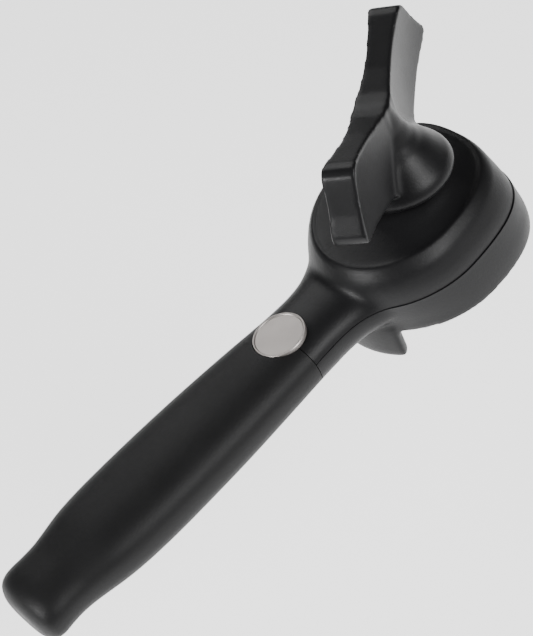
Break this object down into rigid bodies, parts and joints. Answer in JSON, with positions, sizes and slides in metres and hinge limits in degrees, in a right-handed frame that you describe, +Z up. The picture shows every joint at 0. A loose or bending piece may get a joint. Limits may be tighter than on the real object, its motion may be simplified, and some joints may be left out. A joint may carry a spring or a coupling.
{
  "type": "manual can opener",
  "caption": "Side-cutting can opener with a long soft-grip handle, a rounded head, a butterfly turn key on top and feed and cutter wheels below.",
  "frame": {"origin": "the point where a can's rim is nipped, on the underside of the base plate, between the feed wheel and the cutter wheel", "axes": "+Z up along the turn key's axis, towards the key; the handle runs towards -X; +Y completes the right-handed frame"},
  "size_m": [0.2172, 0.0648, 0.0832],
  "materials": {
    "housing_plastic": "satin, fine grain",
    "grip_rubber": "soft-touch, matte",
    "knob_plastic": "satin, fine grain",
    "badge_metal": "brushed, bright rim",
    "plate_steel": "brushed stainless",
    "hardened_steel": "ground",
    "wheel_steel": "ground and hardened",
    "gear_steel": "sintered, oiled",
    "screw_steel": "bright zinc plated",
    "spring_steel": "dark spring temper",
    "bush_bronze": "sintered bronze, oiled",
    "washer_nylon": "natural nylon"
  },
  "bodies": {
    "housing": {"upper_housing": "housing_plastic", "lower_housing": "housing_plastic", "handle_grip": "grip_rubber", "badge": "badge_metal", "base_plate": "plate_steel", "upper_bush": "bush_bronze", "lower_bush": "bush_bronze", "carrier_pivot_pin": "hardened_steel", "carrier_stop_pin": "hardened_steel", "housing_screws": "screw_steel", "tongue_screws": "screw_steel"},
    "drive": {"turn_knob": "knob_plastic", "drive_shaft": "hardened_steel", "feed_wheel": "wheel_steel", "feed_wheel_screw": "screw_steel", "knob_thrust_washer": "washer_nylon", "shaft_ring": "spring_steel", "clutch_ring": "spring_steel", "clutch_washer": "washer_nylon", "clutch_spring": "spring_steel"},
    "pinion": {"clutch_pinion": "gear_steel"},
    "carrier": {"cutter_carrier": "gear_steel", "cutter_axle": "screw_steel", "cutter_washer": "wheel_steel"},
    "cutter": {"cutter_wheel": "wheel_steel"}
  },
  "joints": [
    {"name": "drive_spin", "type": "hinge", "parent": "housing", "child": "drive", "pos_m": [0.007, 0, 0], "axis": [0, 0, 1], "continuous": true},
    {"name": "carrier_turn", "type": "hinge", "parent": "housing", "child": "carrier", "pos_m": [-0.0115, 0, 0], "axis": [0, 0, 1], "range_deg": [0, 170]},
    {"name": "pinion_turn", "type": "hinge", "parent": "housing", "child": "pinion", "pos_m": [0.007, 0, 0], "axis": [0, 0, 1], "range_deg": [-314, 0]},
    {"name": "cutter_spin", "type": "hinge", "parent": "carrier", "child": "cutter", "pos_m": [-0.01367, -0.00038, 0], "axis": [0, 0, 1], "continuous": true}
  ],
  "couplings": [
    {"joint": "pinion_turn", "follows": "carrier_turn", "ratio": -1.8462}
  ]
}
